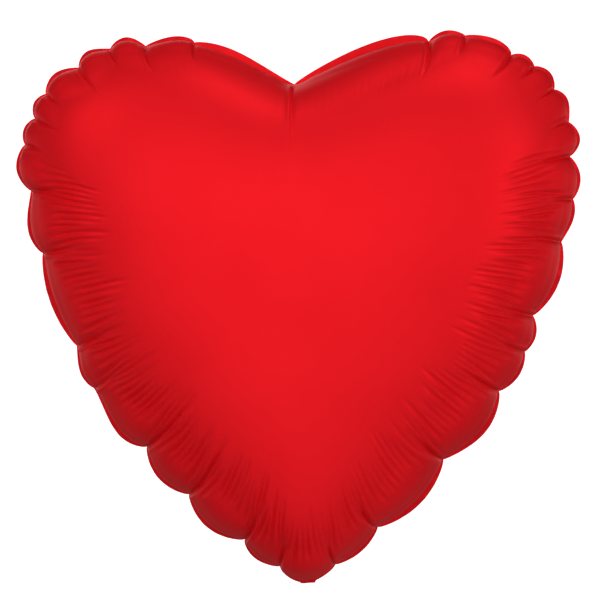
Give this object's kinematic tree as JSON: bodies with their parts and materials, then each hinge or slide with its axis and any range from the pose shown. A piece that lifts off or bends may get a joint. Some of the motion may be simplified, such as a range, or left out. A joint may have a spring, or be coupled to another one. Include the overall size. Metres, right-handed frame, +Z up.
{
  "type": "heart-shaped foil balloon",
  "caption": "Inflated heart-shaped foil balloon with a scalloped seam, a folding flat tail and a self-sealing film valve.",
  "frame": {"origin": "the neck at the heart's bottom tip, on the seam plane, where the tail leaves the envelope", "axes": "+Z up towards the cleft, front panel faces -Y, +X to the right when seen from the front"},
  "size_m": [0.3785, 0.1604, 0.3737],
  "materials": {
    "red_foil": "satin metallised red film with fine puckers square to the seam",
    "valve_film": "clear, slightly hazy polyethylene film"
  },
  "bodies": {
    "envelope": {"front_panel": "red_foil", "back_panel": "red_foil"},
    "tail": {"tail_front_film": "red_foil", "tail_back_film": "red_foil", "valve_inlet_front": "valve_film", "valve_inlet_back": "valve_film"},
    "valve_sleeve": {"valve_sleeve_front": "valve_film", "valve_sleeve_back": "valve_film"}
  },
  "joints": [
    {"name": "tail_fold", "type": "hinge", "parent": "envelope", "child": "tail", "pos_m": [0, 0, -0.001], "axis": [1, 0, 0], "range_deg": [-180, 0]},
    {"name": "sleeve_sway", "type": "hinge", "parent": "envelope", "child": "valve_sleeve", "pos_m": [0, 0, 0.009], "axis": [1, 0, 0], "range_deg": [-30, 30]}
  ]
}
